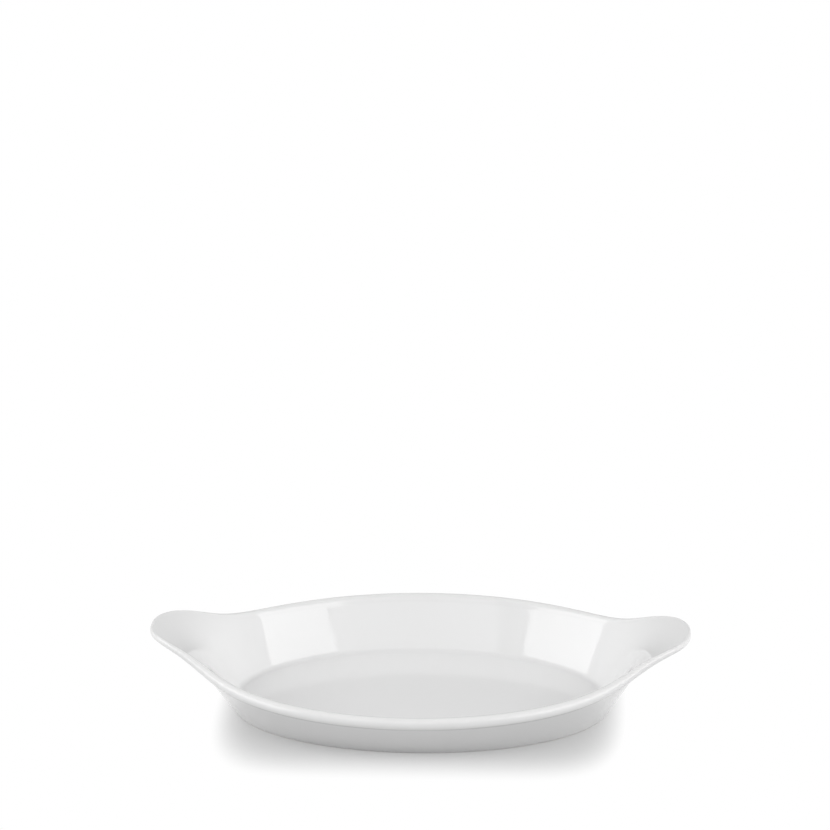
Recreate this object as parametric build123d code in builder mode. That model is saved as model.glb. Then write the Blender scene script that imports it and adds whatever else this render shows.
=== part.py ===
from build123d import *
from math import acos, asin, cos, pi, radians, sin, sqrt, tan
import os

# Oval eared gratin dish of glazed porcelain, fired as one piece.
# The foot rests on Z = 0 with its middle at the origin, and the two ears point along X.

# Overall sizes, in millimetres
overall_length = 232.0
overall_width = 125.0
overall_height = 37.5
side_height = 24.6

# Wall and floor
wall_thickness = 4.1
ear_thickness = 2.1
floor_thickness = 3.6
cove_radius = 3.5

# How far the rolled rim stands out below the wall's outer face, at the sides and on the ears
rim_overhang = 0.9
ear_rim_overhang = 0.3

# Foot ring under the floor
foot_recess = 0.9
foot_ring_width = 4.0
foot_edge_radius = 0.9
recess_edge = 0.4

# The wall's lean from upright at the sides and at the ends, and the ear's slope, in degrees
side_flare = 39.3
end_flare = 33.0
ear_slope = 5.6

# Width of the ears, as an angle around the foot, and how squarely they leave the wall.
# The wall and rim already thin towards them over a wider angle.
ear_half_angle = 13.7
thin_half_angle = 21.5
ear_power = 2.8

# Stations around the dish, drawn together towards the ears by the bunching share
station_count = 56
bunching_share = 0.62

# How many bands make up each stretch of the section
edge_band_count = 3
wall_band_count = 8
rim_band_count = 14
cove_band_count = 5

# The rolled rim is round, and flush with the inner face
rim_radius = (wall_thickness + rim_overhang) / 2
ear_rim_radius = (ear_thickness + ear_rim_overhang) / 2

# The inner face rises straight to the height of the side rim and from there bends out into
# the ear. The bend is an arc that starts at the wall's slope and ends at the ear's.
side_slope = radians(90 - side_flare)
end_slope = radians(90 - end_flare)
tip_slope = radians(ear_slope)
tip_centre_height = overall_height - ear_rim_radius
bend_radius = (
    tip_centre_height
    + ear_rim_radius * cos(tip_slope)
    - side_height
    + rim_radius * (1 - cos(end_slope))
) / (cos(tip_slope) - cos(end_slope))

floor_top = foot_recess + floor_thickness


def between(start, end, share):
    """The value that lies the given share of the way from start to end."""
    return start + (end - start) * share


def ear_share(angle, half_angle):
    """Share of the ear: 1 on its axis, half at the half angle, falling like a bell to 0."""
    quarter = 90.0
    from_axis = abs((angle + quarter) % (2 * quarter) - quarter)

    def bell(away):
        return 1 / (1 + (away / half_angle) ** ear_power)

    return (bell(from_axis) - bell(quarter)) / (1 - bell(quarter))


class Profile:
    """The wall in section, measured outward from the foot line and up from the ground."""

    def __init__(self, slope):
        self.slope = slope
        bend_start = side_height - rim_radius * (1 - cos(slope))
        self.straight = (bend_start - wall_thickness * cos(slope)) / sin(slope)
        self.bend_reach = (
            self.straight * cos(slope) + (bend_radius - wall_thickness) * sin(slope)
        )
        self.bend_height = bend_start - bend_radius * cos(slope)

    def rim_reach(self, slope, radius):
        """Reach of the middle of a rim of that radius, where the inner face has that slope."""
        return self.bend_reach - (bend_radius - radius) * sin(slope)

    def face_reach(self, slope):
        """Reach of the inner face where it has that slope."""
        return self.rim_reach(slope, 0)

    def wall(self, along, depth):
        """Reach and height of a point, by its way up the inner face and its depth behind it."""
        if along < self.straight:
            reach = along * cos(self.slope) + (depth - wall_thickness) * sin(self.slope)
            height = along * sin(self.slope) - (depth - wall_thickness) * cos(self.slope)
            return reach, height
        slope = self.slope - (along - self.straight) / bend_radius
        reach = self.rim_reach(slope, depth)
        return reach, self.bend_height + (bend_radius - depth) * cos(slope)


# How far the middle of the rim stands out beyond the foot line
side_reach = Profile(side_slope).rim_reach(side_slope, rim_radius)
ear_reach = Profile(end_slope).rim_reach(tip_slope, ear_rim_radius)

# How much further out the inner face ends on the ear than it would without one
ear_run = Profile(end_slope).face_reach(tip_slope) - Profile(end_slope).face_reach(end_slope)

# The foot line is an ellipse, set so that the rim ends at the overall length and width
foot_half_length = overall_length / 2 - ear_rim_radius - ear_reach
foot_half_width = overall_width / 2 - rim_radius - side_reach


class Station:
    """One upright section of the dish, square to the foot line at an angle around it."""

    def __init__(self, angle):
        turn = radians(angle)
        self.foot = Vector(foot_half_length * cos(turn), foot_half_width * sin(turn), 0)
        outward = Vector(cos(turn) / foot_half_length, sin(turn) / foot_half_width, 0)
        self.outward = outward.normalized()
        self.profile = Profile(between(side_slope, end_slope, cos(turn) ** 2))
        wall_slope = self.profile.slope

        # The foot's edge is an arc that touches the ground plane and the outer face
        self.edge_along = foot_edge_radius * tan(wall_slope / 2)

        # The cove is an arc that touches the inner face and the floor
        cove_drop = cove_radius * (1 - cos(wall_slope))
        self.cove_along = (
            floor_top + cove_drop - wall_thickness * cos(wall_slope)
        ) / sin(wall_slope)
        self.cove_reach = self.cove_along * cos(wall_slope) - (
            wall_thickness + cove_radius
        ) * sin(wall_slope)

        # The inner face ends as far out as the ear reaches here, and the rim stands behind it
        thin_share = ear_share(angle, thin_half_angle)
        self.thickness = between(wall_thickness, ear_thickness, thin_share)
        self.rim = between(rim_radius, ear_rim_radius, thin_share)
        face_end = self.profile.face_reach(wall_slope) + ear_run * ear_share(angle, ear_half_angle)
        self.slope = asin((self.profile.bend_reach - face_end) / bend_radius)
        self.reach = self.profile.rim_reach(self.slope, self.rim)
        self.rim_along = self.profile.straight + bend_radius * (wall_slope - self.slope)
        self.undercut = sqrt(self.rim**2 - (self.thickness - self.rim) ** 2)
        self.rim_turn = pi + acos((self.thickness - self.rim) / self.rim)

    def place(self, reach, height):
        """The point of the section at a reach beyond the foot line and a height."""
        return self.foot + self.outward * reach + Vector(0, 0, height)

    def foot_edge(self, share):
        """A point of the foot's rounded edge, from the ground at 0 to the outer face at 1."""
        slope = self.profile.slope * share
        reach = foot_edge_radius * sin(slope) - self.edge_along
        return self.place(reach, foot_edge_radius * (1 - cos(slope)))

    def outside(self, share):
        """A point of the outer face, from the foot's edge at 0 to the undercut below the rim at 1."""
        along = between(self.edge_along, self.rim_along - self.undercut, share)
        depth = between(wall_thickness, self.thickness, share)
        return self.place(*self.profile.wall(along, depth))

    def roll(self, share):
        """A point of the rolled rim, from the undercut at 0 over the crest to the inside at 1."""
        turn = self.rim_turn * (1 - share) - self.slope
        height = self.profile.bend_height + (bend_radius - self.rim) * cos(self.slope)
        return self.place(self.reach + self.rim * sin(turn), height + self.rim * cos(turn))

    def inside(self, share):
        """A point of the inner face, from the rim at 0 down to the cove at 1."""
        along = between(self.rim_along, self.cove_along, share)
        return self.place(*self.profile.wall(along, 0))

    def cove(self, share):
        """A point of the cove, from the wall at 0 to the floor at 1."""
        slope = self.profile.slope * (1 - share)
        reach = self.cove_reach + cove_radius * sin(slope)
        return self.place(reach, floor_top + cove_radius * (1 - cos(slope)))


# Stations all the way round, and the parameter that each holds on every curve
turns = [360 * number / station_count for number in range(station_count + 1)]
around = [turn - bunching_share * (180 / pi) * sin(radians(2 * turn)) / 2 for turn in turns]
sections = [Station(angle) for angle in around[:-1]]


def ring(stretch, share):
    """A closed smooth curve round the dish in four quarters, through one point of each section."""
    points = [stretch(section, share) for section in sections]
    whole = Edge.make_spline(points, periodic=True, parameters=turns)
    return Wire([whole.trim(start / 4, (start + 1) / 4) for start in range(4)])


def rings(stretch, band_count):
    """Curves spread evenly over one stretch of the section, without the one where it starts."""
    return [ring(stretch, number / band_count) for number in range(1, band_count + 1)]


# The skin climbs the outer face, turns over the rim and comes down inside to the floor
blank = Solid.make_loft(
    [ring(Station.foot_edge, 0)]
    + rings(Station.foot_edge, edge_band_count)
    + rings(Station.outside, wall_band_count)[:-1]
    + [ring(Station.roll, 0)]
    + rings(Station.roll, rim_band_count)
    + rings(Station.inside, wall_band_count)
    + rings(Station.cove, cove_band_count),
    ruled=True,
)

with BuildPart() as gratin_dish:
    add(blank)
    with BuildSketch(Plane.XY):
        Ellipse(foot_half_length - foot_ring_width, foot_half_width - foot_ring_width)
    extrude(amount=foot_recess, mode=Mode.SUBTRACT)
    recess_face = gratin_dish.faces().filter_by(Axis.Z).sort_by(Axis.Z)[1]
    chamfer(recess_face.edges(), length=recess_edge)

gratin_dish.part.label = "gratin_dish"
os.makedirs("parts", exist_ok=True)
export_step(gratin_dish.part, "parts/gratin_dish.step")
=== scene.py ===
"""Looks of an oval eared gratin dish of white glazed porcelain, on a pale table.

Lengths are in metres and angles in degrees. The foot rests on Z = 0 with its middle at the
origin, and the two ears point along X.
"""

import logging
import math
from dataclasses import dataclass, field
from enum import Enum, IntEnum
from typing import Any, Union
import bpy  # noqa: E402
import numpy as np  # noqa: E402
from mathutils import Matrix, Vector  # noqa: E402


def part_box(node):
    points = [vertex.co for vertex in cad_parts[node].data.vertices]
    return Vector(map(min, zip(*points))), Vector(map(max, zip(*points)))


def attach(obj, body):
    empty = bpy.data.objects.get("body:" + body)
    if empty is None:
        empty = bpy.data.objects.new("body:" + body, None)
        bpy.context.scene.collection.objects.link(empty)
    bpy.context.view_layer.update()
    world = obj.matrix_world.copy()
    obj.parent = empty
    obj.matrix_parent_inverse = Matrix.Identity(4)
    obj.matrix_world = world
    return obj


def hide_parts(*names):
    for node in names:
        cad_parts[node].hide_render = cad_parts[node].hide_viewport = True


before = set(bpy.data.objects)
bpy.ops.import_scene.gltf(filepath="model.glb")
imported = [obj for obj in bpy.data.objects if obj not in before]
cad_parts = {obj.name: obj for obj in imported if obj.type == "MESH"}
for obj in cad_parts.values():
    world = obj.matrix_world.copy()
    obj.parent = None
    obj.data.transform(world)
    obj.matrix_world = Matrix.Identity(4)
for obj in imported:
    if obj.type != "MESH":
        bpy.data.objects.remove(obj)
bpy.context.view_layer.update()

LOG = logging.getLogger("gratin_dish")
Number = Union[int, float]
Colour = tuple[float, float, float]
Strip = tuple[np.ndarray, np.ndarray, np.ndarray]
MM = 0.001
WHITE = (1.0, 1.0, 1.0)

# How much smaller than the solid the exact form is taken, so that the proud bead stays inside
CLEARANCE = (0.01 * MM, 0.01 * MM, 0.11 * MM)

# Watts per square metre at which the face of an area lamp is as bright as plain white
LAMP_POWER = 4.0

# The camera's sensor in millimetres, and the picture in pixels
SENSOR_WIDTH = 36.0
PICTURE_WIDTH = 830


class Layer(Enum):
    """The values that the dish's mesh carries at its points for its finish."""

    # glaze thickness, which also carries painted shade in the creases and hollows
    GLAZE_AND_SHADE = "glaze_depth_and_shade"
    FLOOR_SHARE = "floor_share"


class MixSocket(IntEnum):
    """Numbers of the sockets of a Mix node that mixes colours."""

    SHARE = 0
    FIRST = 6
    SECOND = 7
    RESULT = 2


class Term:
    """A shader value that takes part in Python sums, each of which adds a Math node."""

    def __init__(self, bench: "Bench", socket: bpy.types.NodeSocket) -> None:
        """Wraps the output of a node that stands on the bench."""
        self.bench = bench
        self.socket = socket

    def maths(self, operation: str, *others: Any) -> "Term":
        """Adds one Math node, with this term as its first operand and the others after it."""
        inputs = dict(enumerate((self, *others)))
        return self.bench.value("ShaderNodeMath", {"operation": operation}, inputs)

    def swapped(self, operation: str, first: Number) -> "Term":
        """Adds a Math node with this term as its second operand."""
        settings = {"operation": operation}
        return self.bench.value("ShaderNodeMath", settings, {0: first, 1: self})

    def __add__(self, other: Any) -> "Term":
        """The sum."""
        return self.maths("ADD", other)

    def __radd__(self, other: Number) -> "Term":
        """The sum, with a number in front."""
        return self.swapped("ADD", other)

    def __sub__(self, other: Any) -> "Term":
        """The difference."""
        return self.maths("SUBTRACT", other)

    def __rsub__(self, other: Number) -> "Term":
        """The difference from a number."""
        return self.swapped("SUBTRACT", other)

    def __mul__(self, other: Any) -> "Term":
        """The product."""
        return self.maths("MULTIPLY", other)

    def __rmul__(self, other: Number) -> "Term":
        """The product, with a number in front."""
        return self.swapped("MULTIPLY", other)

    def step(self, low: float, high: float) -> "Term":
        """A smooth step.

        Args:
            low: the value where the step begins.
            high: the value where the step ends, which may lie below low.

        Returns:
            0 up to low, 1 from high on, and a smooth rise between.
        """
        settings = {"interpolation_type": "SMOOTHSTEP"}
        inputs = {"Value": self, "From Min": low, "From Max": high}
        return self.bench.value("ShaderNodeMapRange", settings, inputs, "Result")


class Bench:
    """Puts nodes into one material's or world's tree and wires them."""

    def __init__(self, tree: bpy.types.NodeTree) -> None:
        """Starts with an empty tree."""
        tree.nodes.clear()
        self.tree = tree

    def node(self, kind: str, settings: dict[str, Any], inputs: dict[Any, Any]) -> bpy.types.Node:
        """Adds one node.

        Args:
            kind: Blender's type name of the node.
            settings: its own settings, which are set first.
            inputs: values, colours, terms or sockets by the input's name or number.

        Returns:
            The node.
        """
        made = self.tree.nodes.new(kind)
        for name, value in settings.items():
            setattr(made, name, value)
        for name, value in inputs.items():
            if isinstance(value, Term):
                self.tree.links.new(value.socket, made.inputs[name])
            elif isinstance(value, bpy.types.NodeSocket):
                self.tree.links.new(value, made.inputs[name])
            elif isinstance(value, tuple) and made.inputs[name].type == "RGBA":
                made.inputs[name].default_value = (*value, 1.0)
            else:
                made.inputs[name].default_value = value
        return made

    def value(
        self,
        kind: str,
        settings: dict[str, Any],
        inputs: dict[Any, Any],
        output: Union[int, str] = 0,
    ) -> Term:
        """Adds one node and gives one of its outputs, by name or number, as a term."""
        return Term(self, self.node(kind, settings, inputs).outputs[output])

    def shader(self, kind: str, inputs: dict[Any, Any]) -> bpy.types.NodeSocket:
        """Adds one shader node and gives its only output."""
        return self.node(kind, {}, inputs).outputs[0]

    def vector(self, operation: str, *inputs: Any) -> Term:
        """Adds one Vector Math node, whose operands are terms or triples."""
        settings = {"operation": operation}
        return self.value("ShaderNodeVectorMath", settings, dict(enumerate(inputs)), "Vector")

    def blend(self, share: Any, first: Any, second: Any) -> bpy.types.NodeSocket:
        """A colour between two colours.

        Args:
            share: how much of the second colour, from 0 to 1.
            first: the colour at 0.
            second: the colour at 1.

        Returns:
            The mixed colour's socket.
        """
        inputs = {MixSocket.SHARE: share, MixSocket.FIRST: first, MixSocket.SECOND: second}
        mixed = self.node("ShaderNodeMix", {"data_type": "RGBA"}, inputs)
        return mixed.outputs[MixSocket.RESULT]

    def layer(self, layer: Layer) -> Term:
        """Reads one of the mesh's own values."""
        return self.value("ShaderNodeAttribute", {"attribute_name": layer.value}, {}, "Fac")

    def noise(self, place: Any, size: float, detail: float = 2.0) -> Term:
        """Cloudy noise from 0 to 1, in patches about as large as the given size."""
        inputs = {"Vector": place, "Scale": 1.0 / size, "Detail": detail, "Roughness": 0.5}
        return self.value("ShaderNodeTexNoise", {}, inputs, "Fac")

    def swing(self, place: Any, size: float, detail: float = 2.0) -> Term:
        """The same noise, about 0."""
        return self.noise(place, size, detail) - 0.5


@dataclass(frozen=True)
class GlazedPorcelain:
    """White porcelain under a clear glaze, with the foot ring left bare.

    Sizes are those of the patches of noise, and shares say how strongly they show. The edges of
    a step are the values where it begins and ends, which for a pinhole are distances from its
    middle as shares of the spacing.
    """

    glaze: Colour = (0.86, 0.86, 0.86)
    # pooled glaze, whose darker colour is also painted shade in the creases and hollows
    pooled_glaze_shade: Colour = (0.78, 0.782, 0.782)
    thin_glaze: Colour = (0.872, 0.871, 0.868)
    biscuit: Colour = (0.76, 0.735, 0.69)
    speck: Colour = (0.50, 0.47, 0.43)
    refraction: float = 1.5
    gloss: float = 0.05
    floor_gloss: float = 0.12
    gloss_swing: float = 0.02
    bare_roughness: float = 0.82
    cloud_size: float = 42.0 * MM
    cloud_share: float = 0.3
    streak_size: float = 9.0 * MM
    streak_share: float = 0.6
    thin_edges: tuple[float, float] = (0.2, 1.0)
    speck_spacing: float = 21.0 * MM
    speck_edges: tuple[float, float] = (0.011, 0.004)
    speck_choice: tuple[float, float] = (0.55, 0.75)
    speck_share: float = 0.55
    speck_pit: float = 0.02 * MM
    glaze_line: float = 0.32 * MM
    glaze_line_blur: float = 0.06 * MM
    glaze_line_size: float = 3.2 * MM
    glaze_line_swing: float = 0.35 * MM
    grain_size: float = 0.45 * MM
    grain_edges: tuple[float, float] = (0.62, 0.75)
    grain_share: float = 0.5
    grain_height: float = 0.03 * MM
    peel_size: float = 4.5 * MM
    peel_height: float = 0.010 * MM
    ripple_size: float = 17.0 * MM
    ripple_height: float = 0.05 * MM

    def material(self) -> bpy.types.Material:
        """Builds the finish.

        The glaze is clear and smooth. It lies a little deeper and darker in hollows, where the
        darkness is painted shade in the creases, the cove and the recess, and it is drawn thin
        over the rim, after the mesh's own attribute for glaze and painted shade. The inner floor,
        by its floor_share attribute, is a little duller. A few pinholes and a faint orange peel
        break the surface. Below the glaze line the ring is ground biscuit.

        Returns:
            The material.
        """
        material = bpy.data.materials.new("white_glaze")
        material.use_nodes = True
        bench = Bench(material.node_tree)
        place = bench.value("ShaderNodeTexCoord", {}, {}, "Object")
        height = bench.value("ShaderNodeSeparateXYZ", {}, {"Vector": place}, "Z")
        depth = bench.layer(Layer.GLAZE_AND_SHADE)
        level = bench.layer(Layer.FLOOR_SHARE)

        # the glaze: pooled glaze and painted shade make it darker in the creases and hollows
        cloud = bench.swing(place, self.cloud_size)
        streak = bench.swing(place, self.streak_size, 4.0)
        pool_and_shade = (depth + cloud * self.cloud_share).step(0.0, 1.0)
        thin = (streak * self.streak_share - depth).step(*self.thin_edges)
        body = bench.blend(pool_and_shade, self.glaze, self.pooled_glaze_shade)
        body = bench.blend(thin, body, self.thin_glaze)

        # pinholes, in some of the cells
        cells = bench.node(
            "ShaderNodeTexVoronoi",
            {"feature": "F1"},
            {"Vector": place, "Scale": 1.0 / self.speck_spacing, "Randomness": 1.0},
        )
        cell_colour = {"Color": cells.outputs["Color"]}
        lot = bench.value("ShaderNodeSeparateColor", {}, cell_colour, "Red")
        nearness = Term(bench, cells.outputs["Distance"])
        pinhole = nearness.step(*self.speck_edges) * lot.step(*self.speck_choice)
        body = bench.blend(pinhole * self.speck_share, body, self.speck)

        # the ground ring below the glaze line
        line_swing = bench.swing(place, self.glaze_line_size, 3.0) * self.glaze_line_swing
        line = (self.glaze_line, self.glaze_line - self.glaze_line_blur)
        bare = (height + line_swing).step(*line)
        grain = bench.noise(place, self.grain_size, 4.0)
        dark_grain = grain.step(*self.grain_edges) * self.grain_share
        colour = bench.blend(bare, body, bench.blend(dark_grain, self.biscuit, self.speck))

        # roughness and relief, each of the glaze and of the ring
        satin = level * (self.floor_gloss - self.gloss) + streak * self.gloss_swing + self.gloss
        roughness = satin + bare * (self.bare_roughness - satin)
        peel = bench.noise(place, self.peel_size, 1.0) * self.peel_height
        ripple = bench.noise(place, self.ripple_size, 1.0) * self.ripple_height
        relief = (peel + ripple - pinhole * self.speck_pit) * (1.0 - bare)
        relief = relief + grain * self.grain_height * bare
        bump = bench.value(
            "ShaderNodeBump", {}, {"Height": relief, "Distance": 1.0, "Strength": 1.0}, "Normal"
        )
        surface = bench.shader(
            "ShaderNodeBsdfPrincipled",
            {
                "Base Color": colour,
                "Roughness": roughness,
                "Normal": bump,
                "IOR": self.refraction,
            },
        )
        bench.node("ShaderNodeOutputMaterial", {}, {"Surface": surface})
        return material


@dataclass(frozen=True)
class WhiteTable:
    """A pale table top that turns to plain white away from the dish."""

    bounce: float = 0.65
    seen: float = 0.431
    lift: float = 0.210
    dark_share: float = 0.12
    white_length: float = 89.4 * MM
    white_width: float = 67.8 * MM
    end_power: float = 7.55
    side_power: float = 2.77

    def material(self) -> bpy.types.Material:
        """Builds the finish.

        Light that falls on the table bounces as from matt paper. The camera and reflections see a
        lift as well, which thins the dish's shadow, and plain white away from the dish. The white
        comes in smoothly as (x / white length) ** end power + (y / white width) ** side power
        rises from the dark share to 1.

        Returns:
            The material.
        """
        material = bpy.data.materials.new("white_table")
        material.use_nodes = True
        bench = Bench(material.node_tree)
        rays = bench.node("ShaderNodeLightPath", {}, {})
        watched = Term(bench, rays.outputs["Is Camera Ray"])
        for kind in ("Is Glossy Ray", "Is Transmission Ray"):
            watched = watched.maths("MAXIMUM", rays.outputs[kind])
        place = bench.value("ShaderNodeTexCoord", {}, {}, "Object")
        scale = (1 / self.white_length, 1 / self.white_width, 0.0)
        scaled = bench.vector("MULTIPLY", bench.vector("ABSOLUTE", place), scale)
        parts = bench.node("ShaderNodeSeparateXYZ", {}, {"Vector": scaled})
        along = Term(bench, parts.outputs["X"]).maths("POWER", self.end_power)
        across = Term(bench, parts.outputs["Y"]).maths("POWER", self.side_power)
        away = (along + across).step(self.dark_share, 1.0)
        paper = bench.shader("ShaderNodeBsdfDiffuse", {"Color": (self.bounce,) * 3})
        shown = bench.shader("ShaderNodeBsdfDiffuse", {"Color": (self.seen,) * 3})
        glow = bench.shader("ShaderNodeEmission", {"Color": WHITE, "Strength": self.lift})
        plain = bench.shader("ShaderNodeEmission", {"Color": WHITE, "Strength": 1.0})
        lifted = bench.shader("ShaderNodeAddShader", {0: shown, 1: glow})
        faded = bench.shader("ShaderNodeMixShader", {0: away, 1: lifted, 2: plain})
        surface = bench.shader("ShaderNodeMixShader", {0: watched, 1: paper, 2: faded})
        bench.node("ShaderNodeOutputMaterial", {}, {"Surface": surface})
        return material


def put(name: str, data: bpy.types.ID) -> bpy.types.Object:
    """Puts a mesh, lamp or camera into the scene, at the origin.

    Args:
        name: the object's name.
        data: what it shows.

    Returns:
        The object.
    """
    made = bpy.data.objects.new(name, data)
    bpy.context.scene.collection.objects.link(made)
    return made


def mesh_object(
    name: str, points: np.ndarray, faces: list[np.ndarray], smooth: bool
) -> bpy.types.Object:
    """Makes a mesh object at the origin.

    Args:
        name: the object's name.
        points: corner positions, one row each.
        faces: arrays of corner numbers, one row a face, each array of one face size.
        smooth: whether the faces are shaded smooth.

    Returns:
        The object.
    """
    mesh = bpy.data.meshes.new(name)
    counts = np.concatenate([np.full(len(f), f.shape[1]) for f in faces])
    corners = np.concatenate([f.ravel() for f in faces])
    mesh.vertices.add(len(points))
    mesh.vertices.foreach_set("co", np.ascontiguousarray(points, dtype=np.float32).ravel())
    mesh.loops.add(len(corners))
    mesh.loops.foreach_set("vertex_index", corners.astype(np.int32))
    mesh.polygons.add(len(counts))
    starts = np.concatenate([[0], np.cumsum(counts)[:-1]])
    mesh.polygons.foreach_set("loop_start", starts.astype(np.int32))
    mesh.polygons.foreach_set("use_smooth", np.full(len(counts), smooth))
    mesh.update(calc_edges=True)
    mesh.validate()
    return put(name, mesh)


def direction(azimuth: float, elevation: float) -> Vector:
    """A direction as seen from the dish.

    Its parts are sine and cosine of the azimuth, each times the cosine of the elevation, and the
    sine of the elevation.

    Args:
        azimuth: the turn from the near side, -Y, towards the right, +X.
        elevation: the rise from level.

    Returns:
        A vector of length 1.
    """
    turn, rise = math.radians(azimuth), math.radians(elevation)
    level = math.cos(rise)
    return Vector((math.sin(turn) * level, -math.cos(turn) * level, math.sin(rise)))


def between(start: Any, end: Any, share: Any) -> Any:
    """The value that lies the given share of the way from start to end."""
    return start + (end - start) * share


def hump(value: np.ndarray, middle: float, spread: float) -> np.ndarray:
    """A bell of height 1: e to the minus square of the way from the middle over the spread."""
    return np.exp(-(((value - middle) / spread) ** 2))


def shares(count: int, first: float = 0.0, last: float = 1.0) -> np.ndarray:
    """Evenly spread shares up to the last one, without the first, as one row."""
    return np.linspace(first, last, count + 1)[None, 1:]


def split_shares(counts: tuple[int, int], split: float) -> np.ndarray:
    """Shares from 0 to 1 that are spread evenly on each side of the split."""
    return np.concatenate([shares(counts[0], 0, split), shares(counts[1], split, 1)], 1)


def ground(x: np.ndarray, y: np.ndarray) -> np.ndarray:
    """Points at height 0."""
    return np.stack([x, y, np.zeros_like(x)], -1)


@dataclass(frozen=True)
class Spacing:
    """How many points each stretch of the outline has, and how many rings the two discs have.

    The outer and inner face have more points near the rim, on one side of their split.
    """

    recess_corner: int = 5
    ring_edge: int = 4
    ring_face: int = 5
    foot_edge: int = 9
    outside: tuple[int, int] = (20, 13)
    outside_split: float = 0.9
    bead: int = 46
    inside: tuple[int, int] = (12, 34)
    inside_split: float = 0.12
    cove: int = 14
    ceiling: int = 12
    floor: int = 26


@dataclass(frozen=True)
class GlazeAndShade:
    """How thickly the glaze lies, with painted shade in the same values: 1 where it is most
    pooled,
    0 where it is plain, -1 where thinnest. Where it pools, in the crease, the recess corner, the
    cove and the dip below the bead, its darker colour is painted shade.

    Middles and spreads are shares of the way along the outer face or round the bead. Those of
    the dip below the bead are in rim radii down the inner face.
    """

    recess_corner: float = 0.5
    crease_spread: float = 1.2 / 22
    pool_shade_spread: float = 0.25
    crest_middle: float = 0.72
    crest_spread: float = 0.22
    dip_shade: float = 0.25
    dip_middle: float = 0.6
    dip_spread: float = 0.3
    cove: float = 0.1
    settle_spread: int = 5
    settle_passes: int = 3


@dataclass
class DishBody:
    """The porcelain body: foot ring, flared wall, rolled rim, two ears and the inner floor.

    Around the dish, an angle turns along the elliptic foot line. At each angle an upright section
    stands square to that line. In it, reach is measured outward from the foot line, and a place
    in the wall is given by the way up the inner face and the depth behind that face.
    """

    # overall sizes
    length: float
    width: float
    height: float
    side_height: float = 24.6 * MM

    # thickness of the wall, of the ears and of the floor, and the cove between wall and floor
    wall: float = 4.1 * MM
    ear: float = 2.1 * MM
    floor: float = 3.6 * MM
    cove: float = 3.5 * MM

    # how far the rim stands out at the sides and on the ears, and its bead, in rim radii
    rim_overhang: float = 0.9 * MM
    ear_overhang: float = 0.3 * MM
    bead_proud: float = 0.055
    bead_fade: float = 0.5

    # the foot ring round its recess
    recess: float = 0.9 * MM
    ring_width: float = 4.0 * MM
    foot_round: float = 0.9 * MM
    ring_round: float = 0.3 * MM
    recess_round: float = 0.45 * MM

    # the wall's lean from upright, the ear's slope from level, and the ear's width
    side_flare: float = 39.3
    end_flare: float = 33.0
    ear_slope: float = 5.6
    ear_half_angle: float = 13.7
    thin_half_angle: float = 21.5
    ear_power: float = 2.8

    # sections round the dish, drawn together towards the ears by the bunching share
    stations: int = 400
    bunching: float = 0.62

    # what firing bends: the right ear's near side, and slow waves round the rim
    ear_sag: float = 1.0 * MM
    sag_start: float = 82.0 * MM
    sag_run: float = 30.0 * MM
    sag_width: float = 26.0 * MM
    wave_height: float = 0.04 * MM
    wave_count: int = 3
    wave_turn: float = 0.8

    # how high above the floor its duller glaze has faded out
    dull_height: float = 1.2 * MM

    spacing: Spacing = field(default_factory=Spacing)
    glaze_and_shade: GlazeAndShade = field(default_factory=GlazeAndShade)
    finish: GlazedPorcelain = field(default_factory=GlazedPorcelain)

    def __post_init__(self) -> None:
        """Works out the sections all the way round, as columns of one row a station."""
        self.rim_radius = (self.wall + self.rim_overhang) / 2
        self.ear_radius = (self.ear + self.ear_overhang) / 2
        self.floor_top = self.recess + self.floor

        # the bend's radius lifts the ear's end to the overall height
        side, end, tip = np.radians([90 - self.side_flare, 90 - self.end_flare, self.ear_slope])
        lift = self.height - self.ear_radius * (1 - math.cos(tip)) - self.side_height
        self.bend = (lift + self.rim_radius * (1 - math.cos(end))) / (
            math.cos(tip) - math.cos(end)
        )

        # the foot line is an ellipse, set so that the rim ends at the overall length and width
        self.set_profile(np.full((1, 1), end))
        ear_reach = self.rim_reach(tip, self.ear_radius).item()
        ear_run = (self.rim_reach(tip, 0) - self.rim_reach(end, 0)).item()
        self.set_profile(np.full((1, 1), side))
        side_reach = self.rim_reach(side, self.rim_radius).item()
        self.half_length = self.length / 2 - self.ear_radius - ear_reach
        self.half_width = self.width / 2 - self.rim_radius - side_reach
        turn = np.linspace(0, 2 * np.pi, self.stations, endpoint=False)[:, None]
        turn = turn - self.bunching * np.sin(2 * turn) / 2
        self.foot = ground(self.half_length * np.cos(turn), self.half_width * np.sin(turn))
        outward = ground(np.cos(turn) / self.half_length, np.sin(turn) / self.half_width)
        self.outward = outward / np.linalg.norm(outward, axis=-1, keepdims=True)
        self.set_profile(between(side, end, np.cos(turn) ** 2))

        # the wall and rim thin towards the ears, and the inner face ends where the ear does
        thin = self.ear_share(np.degrees(turn), self.thin_half_angle)
        self.thickness = between(self.wall, self.ear, thin)
        self.rim = between(self.rim_radius, self.ear_radius, thin)
        share = self.ear_share(np.degrees(turn), self.ear_half_angle)
        face_end = self.rim_reach(self.slope, 0) + ear_run * share
        self.rim_slope = np.arcsin((self.bend_reach - face_end) / self.bend)
        self.rim_along = self.straight + self.bend * (self.slope - self.rim_slope)
        self.edge_along = self.foot_round * np.tan(self.slope / 2)
        self.set_bead()

    def ear_share(self, degrees: np.ndarray, half_angle: float) -> np.ndarray:
        """Share of the ear at each station.

        The bell 1 / (1 + (away / half angle) ** power) of the angle away from the ear's axis,
        stretched so that it is 1 on the axis and 0 at the side.

        Args:
            degrees: angles around the foot line.
            half_angle: the angle away at which the bell has fallen to a half.

        Returns:
            The shares, from 0 to 1.
        """
        quarter = np.float64(90)
        away = np.abs((degrees + quarter) % (2 * quarter) - quarter)

        def bell(angle: np.ndarray) -> np.ndarray:
            """The plain bell."""
            return 1 / (1 + (angle / half_angle) ** self.ear_power)

        return (bell(away) - bell(quarter)) / (1 - bell(quarter))

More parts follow.
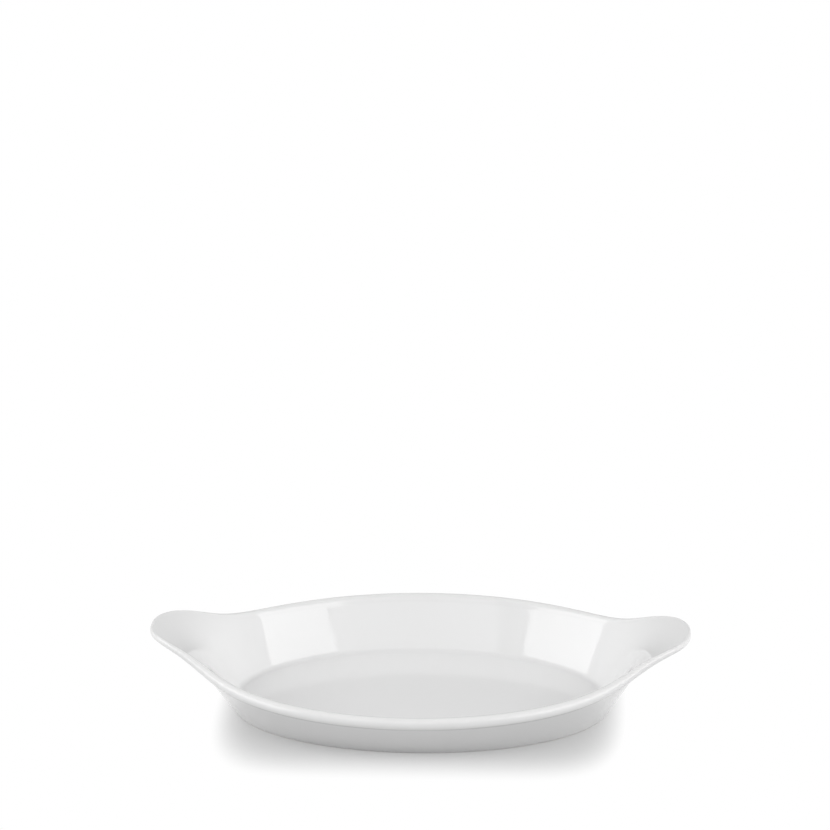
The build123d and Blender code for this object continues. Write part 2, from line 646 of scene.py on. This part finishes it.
    def set_profile(self, slope: np.ndarray) -> None:
        """Sets the wall's slope from level, and the bend that starts at the side rim's height.

        Args:
            slope: the wall's slope at each station, in radians.
        """
        self.slope = slope
        start = self.side_height - self.rim_radius * (1 - np.cos(slope))
        self.straight = (start - self.wall * np.cos(slope)) / np.sin(slope)
        self.bend_reach = self.straight * np.cos(slope) + (self.bend - self.wall) * np.sin(slope)
        self.bend_height = start - self.bend * np.cos(slope)

    def set_bead(self) -> None:
        """Sets the rim's bead, which is round and stands a little proud of the inner face."""
        self.proud = self.bead_proud * self.rim
        self.bead_radius = self.rim + self.proud / 2
        self.bead_along = self.rim_along - self.proud / 2
        self.bead_depth = self.bead_radius - self.proud
        self.inset = self.thickness - self.bead_depth

    def rim_reach(self, slope: Any, depth: Any) -> np.ndarray:
        """Reach of a point of the bend, by the inner face's slope there and its depth."""
        return self.bend_reach - (self.bend - depth) * np.sin(slope)

    def in_wall(self, along: np.ndarray, depth: np.ndarray) -> tuple[np.ndarray, np.ndarray]:
        """Reach and height of points of the wall.

        Below the bend the inner face is a straight line at the wall's slope. Above it the face
        is an arc whose slope falls in step with the way along it.

        Args:
            along: the way up the inner face, from level with the foot line.
            depth: the depth behind the inner face.

        Returns:
            The reach and the height.
        """
        sine, cosine = np.sin(self.slope), np.cos(self.slope)
        bent = self.slope - (along - self.straight) / self.bend
        flat = along < self.straight
        reach = np.where(
            flat, along * cosine + (depth - self.wall) * sine, self.rim_reach(bent, depth)
        )
        height = np.where(
            flat,
            along * sine - (depth - self.wall) * cosine,
            self.bend_height + (self.bend - depth) * np.cos(bent),
        )
        return reach, height

    def strip(self, reach: Any, height: Any, depth: Any = 0.0) -> Strip:
        """One stretch of the outline: reach, height, and glaze depth with its painted shade, each
        with a row a station.
        """
        spread = np.broadcast_arrays(reach, height, depth, self.slope)
        return spread[0], spread[1], spread[2]

    def foot_strips(self) -> list[Strip]:
        """The outline under the dish.

        Corners and edges are quarter turns, a middle plus the radius times sine and cosine. The
        foot's outer edge is such an arc from level to the wall's slope.

        Returns:
            The recess's corner and wall, the ring's inner edge and face, and the foot's edge.
        """
        corner = shares(self.spacing.recess_corner) * np.pi / 2
        inner = shares(self.spacing.ring_edge) * np.pi / 2
        outer = self.slope * shares(self.spacing.foot_edge)
        recess_wall = np.array([[self.recess - self.recess_round, self.ring_round]])
        face = self.ring_width - self.ring_round - self.edge_along
        return [
            # the glaze pools in the recess's corner, painted shade in that hollow
            self.strip(
                -self.ring_width - self.recess_round * (1 - np.sin(corner)),
                self.recess - self.recess_round * (1 - np.cos(corner)),
                self.glaze_and_shade.recess_corner * np.sin(corner),
            ),
            self.strip(-self.ring_width, recess_wall),
            self.strip(
                -self.ring_width + self.ring_round * (1 - np.cos(inner)),
                self.ring_round * (1 - np.sin(inner)),
            ),
            self.strip(
                -self.ring_width + self.ring_round + face * shares(self.spacing.ring_face), 0.0
            ),
            self.strip(
                self.foot_round * np.sin(outer) - self.edge_along,
                self.foot_round * (1 - np.cos(outer)),
            ),
        ]

    def outside_strip(self) -> Strip:
        """The outline up the outer face.

        Its way up and its depth behind the inner face are straight mixes of their ends.

        Returns:
            The stretch, with closer points and deeper glaze towards the crease under the bead, the
            glaze's darker colour there being painted shade.
        """
        undercut = np.sqrt(self.bead_radius**2 - self.inset**2)
        share = split_shares(self.spacing.outside, self.spacing.outside_split)
        along = between(self.edge_along, self.bead_along - undercut, share)
        depth = between(self.wall, self.thickness, share)
        return self.strip(*self.in_wall(along, depth), hump(share, 1, self.glaze_and_shade.crease_spread))

    def bead_strip(self) -> Strip:
        """The outline round the bead.

        A middle plus the radius times the sine and cosine of a turn from the crease over the
        crest to the inner face.

        Returns:
            The stretch. The glaze pools on the bead's lower half, where its darker colour is
            painted shade, and is thin on the crest.
        """
        reach, height = self.in_wall(self.bead_along, self.bead_depth)
        lean = self.slope - np.maximum(self.bead_along - self.straight, 0) / self.bend
        far_turn = np.pi + np.arccos(self.inset / self.bead_radius)
        share = shares(self.spacing.bead)
        turn = far_turn * (1 - share) - lean
        pool_shade = hump(share, 0, self.glaze_and_shade.pool_shade_spread)
        crest = hump(share, self.glaze_and_shade.crest_middle, self.glaze_and_shade.crest_spread)
        return self.strip(
            reach + self.bead_radius * np.sin(turn),
            height + self.bead_radius * np.cos(turn),
            pool_shade - crest,
        )

    def inside_strips(self) -> list[Strip]:
        """The outline down the inner face and through the cove.

        The bead's swell fades down the face as a bell. The cove is an arc from the wall's slope
        to level.

        Returns:
            The inner face and the cove.
        """
        sine, cosine = np.sin(self.slope), np.cos(self.slope)
        drop = self.cove * (1 - cosine)
        cove_along = (self.floor_top + drop - self.wall * cosine) / sine
        cove_reach = cove_along * cosine - (self.wall + self.cove) * sine
        share = split_shares(self.spacing.inside, self.spacing.inside_split)
        along = between(self.bead_along, cove_along, share)
        below = (self.bead_along - along) / self.rim
        swell = self.proud * hump(below, 0, self.bead_fade)
        # a band of pooled glaze below the bead, painted shade for a dark line inside the rim
        dip = hump(below, self.glaze_and_shade.dip_middle, self.glaze_and_shade.dip_spread)
        through = shares(self.spacing.cove)
        turn = self.slope * (1 - through)
        return [
            self.strip(*self.in_wall(along, -swell), self.glaze_and_shade.dip_shade * dip),
            # the cove's pooled glaze is painted shade where the wall meets the floor
            self.strip(
                cove_reach + self.cove * np.sin(turn),
                self.floor_top + self.cove * (1 - np.cos(turn)),
                self.glaze_and_shade.cove * np.sin(np.pi * through),
            ),
        ]

    def section(self) -> Strip:
        """The whole outline, from the recess up the outside, over the rim and down to the floor.

        Returns:
            Reach, height and glaze depth, one row a station and one column a point.
        """
        foot, inside = self.foot_strips(), self.inside_strips()
        strips = [*foot, self.outside_strip(), self.bead_strip(), *inside]
        ends = np.cumsum([strip[0].shape[1] for strip in strips])
        self.crease, self.cove_start = ends[len(foot)], ends[-2]
        reach, height, depth = (np.concatenate([s[k] for s in strips], 1) for k in range(3))
        return reach, height, depth

    def settle(self, line: np.ndarray) -> np.ndarray:
        """Rounds the crease under the bead the way glaze fills it.

        In each pass every point near the crease moves half way to the mean of its neighbours.
        The move fades out from half the spread to one and a half times the spread away.

        Args:
            line: reach or height along the outline, one row a station.

        Returns:
            The rounded line.
        """
        line = line.copy()
        away = np.abs(np.arange(line.shape[1] - 2) + 1 - self.crease)
        weight = 0.5 * np.clip(1.5 - away / self.glaze_and_shade.settle_spread, 0, 1)[None, :]
        for _ in range(self.glaze_and_shade.settle_passes):
            mean = (line[:, :-2] + line[:, 2:]) / 2
            line[:, 1:-1] += weight * (mean - line[:, 1:-1])
        return line

    def points(self) -> tuple[np.ndarray, np.ndarray]:
        """All points of the body.

        Returns:
            Positions as stations by rings by three, and the glaze depth, with its painted shade,
            of each.
        """
        reach, height, depth = self.section()
        body = self.foot + self.outward * self.settle(reach)[..., None]
        body[..., 2] = self.settle(height)

        def disc(ring: np.ndarray, count: int) -> np.ndarray:
            """Rings shrunk towards the middle, outermost first, without the ring itself."""
            share = 1 - np.arange(1, count)[None, :, None] / count
            return ring * np.concatenate([share, share, np.ones_like(share)], -1)

        ceiling = self.foot - self.outward * (self.ring_width + self.recess_round)
        ceiling[..., 2] = self.recess
        under = np.concatenate([ceiling, disc(ceiling, self.spacing.ceiling)], 1)[:, ::-1]
        floor = disc(body[:, -1:], self.spacing.floor)
        self.under_rings = under.shape[1]
        plain = [np.zeros((self.stations, part.shape[1])) for part in (under, floor)]
        rows = np.concatenate([under, body, floor], 1)
        return rows, np.concatenate([plain[0], depth, plain[1]], 1)

    def build(self) -> bpy.types.Object:
        """Builds the body as one closed surface.

        Rings of points are joined by four-sided faces, and each end is closed by a fan. The
        floor share falls from 1 on the inner floor to 0 at the dull height above it.

        Returns:
            The mesh object.
        """
        rows, depth = self.points()
        around, along = rows.shape[:2]
        number = np.arange(around * along).reshape(around, along)
        beside = np.roll(number, -1, 0)
        quads = np.stack([number[:, :-1], beside[:, :-1], beside[:, 1:], number[:, 1:]], -1)
        low, high = around * along, around * along + 1
        fan_low = np.stack([np.full(around, low), beside[:, 0], number[:, 0]], -1)
        fan_high = np.stack([number[:, -1], beside[:, -1], np.full(around, high)], -1)
        poles = np.array([[0, 0, self.recess], [0, 0, self.floor_top]])
        points = self.warp(np.concatenate([rows.reshape(-1, 3), poles]))
        made = mesh_object("dish_body", points, [quads.reshape(-1, 4), fan_low, fan_high], True)
        level = np.clip(1 - (rows[..., 2] - self.floor_top) / self.dull_height, 0, 1)
        level[:, : self.cove_start + self.under_rings] = 0
        for layer, value in ((Layer.GLAZE_AND_SHADE, depth), (Layer.FLOOR_SHARE, level)):
            kept = made.data.attributes.new(layer.value, "FLOAT", "POINT")
            ends = [0, value[0, -1]]
            kept.data.foreach_set("value", np.append(value.ravel(), ends).astype(np.float32))
        return made

    def warp(self, points: np.ndarray) -> np.ndarray:
        """Gives the body the slight unevenness that firing leaves.

        The near side of the right ear sags in step with how far out a point lies along X, and
        the rim falls by slow waves round the dish. Both grow with the height squared.

        Args:
            points: positions of the exact form.

        Returns:
            The moved positions.
        """
        points = points.copy()
        x, y, z = points.T
        up = np.clip(z / self.height, 0, 1) ** 2
        out = np.clip((x - self.sag_start) / self.sag_run, 0, 1)
        near = np.clip(0.5 - y / self.sag_width, 0, 1)
        around = np.arctan2(y / self.width, x / self.length)
        wave = 1 - np.cos(self.wave_count * around + self.wave_turn)
        points[:, 2] = z - up * (self.ear_sag * out * near + self.wave_height * wave)
        return points

    def dress(self, made: bpy.types.Object) -> None:
        """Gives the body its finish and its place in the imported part.

        Args:
            made: the body's object.
        """
        made.data.materials.append(self.finish.material())
        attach(made, "root")
        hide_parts("gratin_dish")


@dataclass(frozen=True)
class SoftBox:
    """A studio lamp that faces the dish, with the brightness of its face as its strength."""

    name: str
    azimuth: float
    elevation: float
    distance: float
    width: float
    height: float
    strength: float

    def build(self) -> bpy.types.Object:
        """Places the lamp.

        Returns:
            The lamp.
        """
        light = bpy.data.lights.new(self.name, "AREA")
        light.shape = "RECTANGLE"
        light.size = self.width
        light.size_y = self.height
        light.energy = self.strength * self.width * self.height * LAMP_POWER
        toward = direction(self.azimuth, self.elevation)
        facing = (-toward).to_track_quat("-Z", "Y").to_matrix().to_4x4()
        made = put(self.name, light)
        made.matrix_world = Matrix.Translation(toward * self.distance) @ facing
        return made


@dataclass
class Studio:
    """The table, the lamps, the surrounding light and the camera."""

    table: WhiteTable = field(default_factory=WhiteTable)
    table_half: float = 5.0

    # shares of the surrounding light's parts
    from_back: float = 0.172
    from_sides: float = 1.225
    from_right: float = 0.165
    high_sides: float = 0.666

    lamps: tuple[SoftBox, ...] = (
        SoftBox("box_right", 53.1, 38.0, distance=1.3, width=0.82, height=0.62, strength=2.22),
        SoftBox("box_left", -72.1, 34.0, distance=1.3, width=0.885, height=0.70, strength=2.05),
        SoftBox("box_front", 0.0, 50.0, distance=1.5, width=1.20, height=0.60, strength=0.73),
    )

    # the camera's direction, turns, aim and focal length in pixels
    elevation: float = 26.953988
    azimuth: float = 4.169501
    roll: float = 1.117462
    tilt: float = math.degrees(0.093002)
    distance: float = 1.2
    aim_height: float = 0.015
    nearest: float = 0.05
    focal_pixels: float = 2770.341

    def build_table(self) -> bpy.types.Object:
        """Lays the table top, a level square at the foot's height.

        Returns:
            The table top.
        """
        signs = np.array([[-1, -1, 0], [1, -1, 0], [1, 1, 0], [-1, 1, 0]])
        made = mesh_object("table_top", signs * self.table_half, [np.array([[0, 1, 2, 3]])], False)
        made.data.materials.append(self.table.material())
        return made

    def build_surroundings(self) -> None:
        """Sets the light from all round: white to the camera, and otherwise a soft room.

        The room's brightness is a sum of shares of four parts of the direction that the light
        comes from: the sideward part squared, the upward times the sideward one, the rightward
        and the farward one.
        """
        world = bpy.data.worlds.new("room")
        world.use_nodes = True
        bpy.context.scene.world = world
        bench = Bench(world.node_tree)
        toward = bench.value("ShaderNodeTexCoord", {}, {}, "Generated")
        parts = bench.node("ShaderNodeSeparateXYZ", {}, {"Vector": toward})
        up = Term(bench, parts.outputs["Z"]).maths("MAXIMUM", 0.0)
        side = Term(bench, parts.outputs["X"]).maths("ABSOLUTE")
        right = Term(bench, parts.outputs["X"]).maths("MAXIMUM", 0.0)
        back = Term(bench, parts.outputs["Y"]).maths("MAXIMUM", 0.0)
        room = side * side * self.from_sides + up * side * self.high_sides
        room = room + right * self.from_right + back * self.from_back
        seen = bench.value("ShaderNodeLightPath", {}, {}, "Is Camera Ray")
        strength = room + seen * (1.0 - room)
        glow = bench.shader("ShaderNodeBackground", {"Color": WHITE, "Strength": strength})
        bench.node("ShaderNodeOutputWorld", {}, {"Surface": glow})

    def build_camera(self) -> bpy.types.Object:
        """Sets the camera.

        It stands at a distance from the aim point in the direction of its azimuth and elevation,
        looks at that point, and is then tilted up so that the dish lies low in the picture, and
        rolled.

        Returns:
            The camera.
        """
        back = direction(self.azimuth, self.elevation)
        ahead = -back
        right = ahead.cross(Vector((0, 0, 1))).normalized()
        up = right.cross(ahead)
        tilt, roll = math.radians(self.tilt), math.radians(self.roll)
        up, ahead = (
            up * math.cos(tilt) - ahead * math.sin(tilt),
            up * math.sin(tilt) + ahead * math.cos(tilt),
        )
        right, up = (
            right * math.cos(roll) - up * math.sin(roll),
            right * math.sin(roll) + up * math.cos(roll),
        )
        camera = bpy.data.cameras.new("camera")
        camera.sensor_width = SENSOR_WIDTH
        camera.lens = self.focal_pixels * SENSOR_WIDTH / PICTURE_WIDTH
        camera.clip_start = self.nearest
        made = put("camera", camera)
        turned = Matrix((right, up, -ahead)).transposed().to_4x4()
        where = Vector((0, 0, self.aim_height)) + back * self.distance
        made.matrix_world = Matrix.Translation(where) @ turned
        bpy.context.scene.camera = made
        return made

    def build(self) -> None:
        """Builds the whole studio."""
        bpy.context.scene.view_settings.view_transform = "Standard"
        LOG.info("%s laid", self.build_table().name)
        self.build_surroundings()
        for lamp in self.lamps:
            LOG.info("%s placed", lamp.build().name)
        LOG.info("%s set", self.build_camera().name)


def main() -> None:
    """Builds the dish and the studio."""
    logging.basicConfig(level=logging.INFO, format="%(name)s: %(message)s")
    low, high = (np.array(corner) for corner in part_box("gratin_dish"))
    length, width, height = high - low - np.array(CLEARANCE)
    dish = DishBody(length=float(length), width=float(width), height=float(height))
    body = dish.build()
    dish.dress(body)
    LOG.info("%s has %d faces", body.name, len(body.data.polygons))
    Studio().build()


if __name__ == "__main__":
    main()
